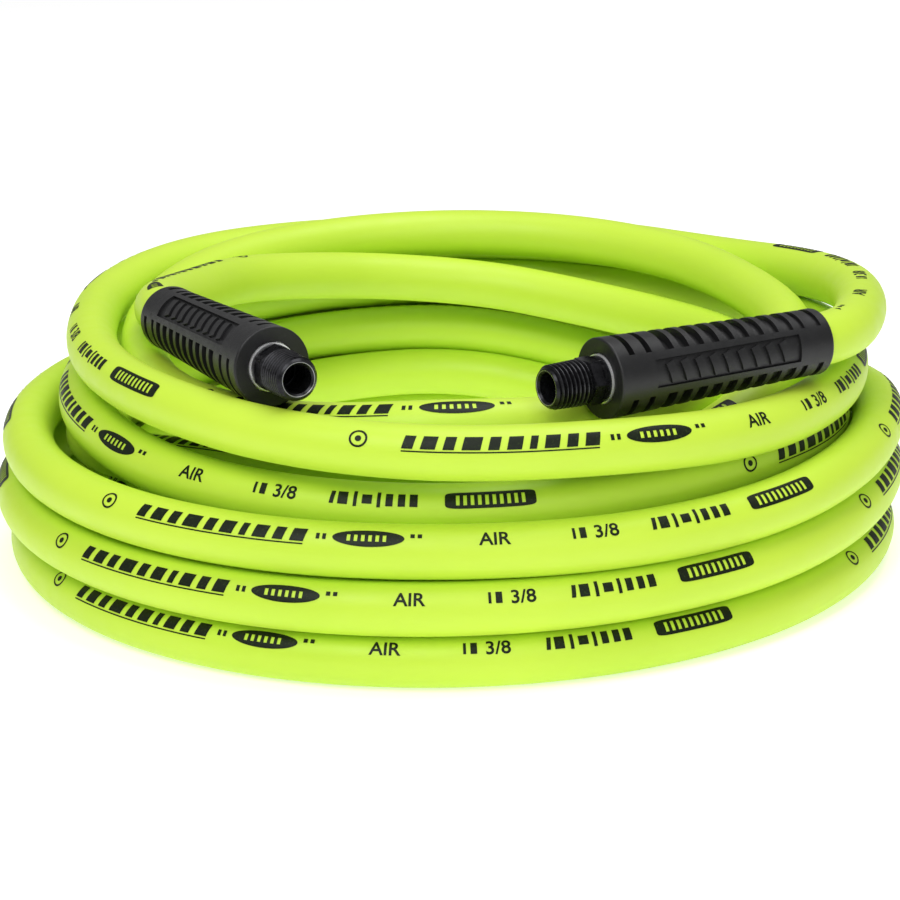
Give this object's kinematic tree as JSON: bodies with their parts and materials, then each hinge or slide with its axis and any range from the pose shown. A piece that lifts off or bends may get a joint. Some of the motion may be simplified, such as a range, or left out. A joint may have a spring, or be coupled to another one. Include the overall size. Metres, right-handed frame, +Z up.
{
  "type": "air hose",
  "caption": "Flexible compressed-air hose in a loose coil, with a male pipe-threaded fitting and a slotted bend restrictor at each end.",
  "frame": {"origin": "centre of the coil on the surface it stands on", "axes": "+Z up, the coil's own axis; -Y faces the viewer, with both threaded ends on that side; +X to the right"},
  "size_m": [0.292, 0.292, 0.0973],
  "materials": {
    "hose_cover": "satin lime-green polymer",
    "hose_liner": "smooth black inner tube",
    "hose_braid": "woven polyester yarn",
    "black_anodised": "black anodised, satin",
    "ferrule_metal": "bright turned and crimped",
    "grip_plastic": "moulded, fine satin texture",
    "print_ink": "printed ink"
  },
  "bodies": {
    "hose": {"hose_coil": "hose_cover", "right_fitting": "black_anodised", "right_ferrule": "ferrule_metal", "right_hose_liner": "hose_liner", "right_hose_braid": "hose_braid", "right_hose_cover": "hose_cover", "right_hose_run": "hose_cover", "left_fitting": "black_anodised", "left_ferrule": "ferrule_metal", "left_hose_liner": "hose_liner", "left_hose_braid": "hose_braid", "left_hose_cover": "hose_cover", "left_hose_run": "hose_cover"},
    "right_grip": {"right_bend_restrictor": "grip_plastic"},
    "left_grip": {"left_bend_restrictor": "grip_plastic"}
  },
  "joints": [
    {"name": "right_grip_turn", "type": "hinge", "parent": "hose", "child": "right_grip", "pos_m": [0.07665, -0.08449, 0.08155], "axis": [0.8501, 0.526, -0.0269], "continuous": true},
    {"name": "left_grip_turn", "type": "hinge", "parent": "hose", "child": "left_grip", "pos_m": [-0.0685, -0.05969, 0.08361], "axis": [-0.4486, 0.8926, -0.046], "continuous": true}
  ]
}
